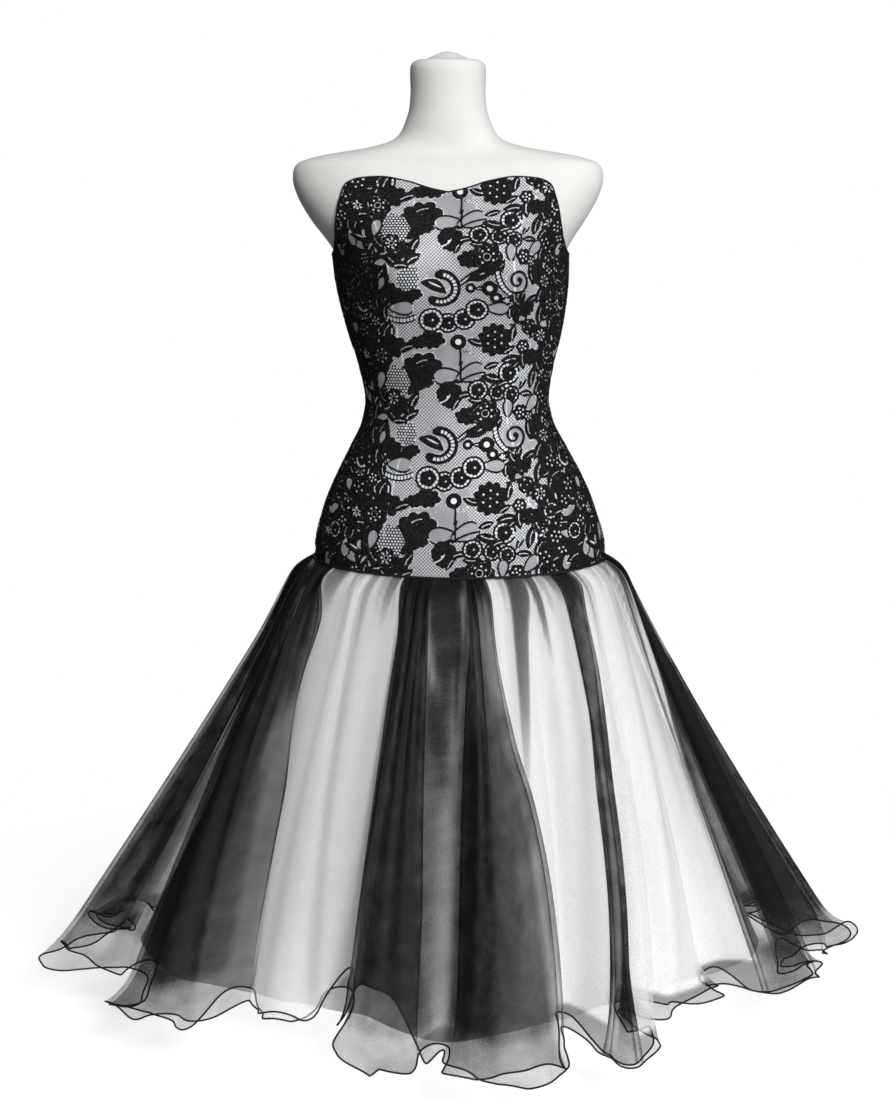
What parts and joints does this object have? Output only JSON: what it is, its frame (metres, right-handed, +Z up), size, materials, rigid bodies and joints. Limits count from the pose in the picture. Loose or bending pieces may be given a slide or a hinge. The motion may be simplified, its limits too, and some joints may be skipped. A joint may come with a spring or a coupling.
{
  "type": "strapless party dress on dress form",
  "caption": "Strapless dress on a limbless form: lace over satin panels to a dropped waist, and a gathered skirt of black and white organza gores over a satin underskirt.",
  "frame": {"origin": "centre of the round base plate's underside, on the floor", "axes": "+Z up, the front of the dress faces -Y, +X is to the right of someone who looks at the front"},
  "size_m": [1.0772, 0.9113, 1.2323],
  "materials": {
    "white_satin": "satin",
    "black_lace": "matte",
    "black_organza": "sheer",
    "white_organza": "sheer",
    "form_plaster": "matte",
    "steel": "satin",
    "black_zip": "matte",
    "zip_metal": "polished"
  },
  "bodies": {
    "dress": {"back_zip": "black_zip", "bodice_back_left": "white_satin", "bodice_back_right": "white_satin", "bodice_front": "white_satin", "bodice_side_front_left": "white_satin", "bodice_side_front_right": "white_satin", "form_neck_cap": "form_plaster", "form_torso": "form_plaster", "inner_gore_01_black": "black_organza", "inner_gore_02_white": "white_organza", "inner_gore_03_black": "black_organza", "inner_gore_04_white": "white_organza", "inner_gore_05_black": "black_organza", "inner_gore_06_white": "white_organza", "inner_gore_07_black": "black_organza", "inner_gore_08_white": "white_organza", "inner_gore_09_black": "black_organza", "inner_gore_10_white": "white_organza", "inner_gore_11_black": "black_organza", "inner_gore_12_white": "white_organza", "inner_gore_13_black": "black_organza", "inner_gore_14_white": "white_organza", "inner_gore_15_black": "black_organza", "inner_gore_16_white": "white_organza", "lace_back_left": "black_lace", "lace_back_right": "black_lace", "lace_front": "black_lace", "lace_side_front_left": "black_lace", "lace_side_front_right": "black_lace", "outer_gore_01_black": "black_organza", "outer_gore_02_white": "white_organza", "outer_gore_03_black": "black_organza", "outer_gore_04_white": "white_organza", "outer_gore_05_black": "black_organza", "outer_gore_06_white": "white_organza", "outer_gore_07_black": "black_organza", "outer_gore_08_white": "white_organza", "outer_gore_09_black": "black_organza", "outer_gore_10_white": "white_organza", "outer_gore_11_black": "black_organza", "outer_gore_12_white": "white_organza", "outer_gore_13_black": "black_organza", "outer_gore_14_white": "white_organza", "stand_base": "steel", "stand_flange": "steel", "stand_pole": "steel", "underskirt_back_left": "white_satin", "underskirt_back_right": "white_satin", "underskirt_front": "white_satin", "zip_slider": "zip_metal"},
    "zip_pull": {"zip_pull": "zip_metal"}
  },
  "joints": [
    {"name": "zip_pull_swing", "type": "hinge", "parent": "dress", "child": "zip_pull", "pos_m": [0.00511, 0.11473, 0.942], "axis": [1, 0, 0], "range_deg": [0, 150]}
  ]
}
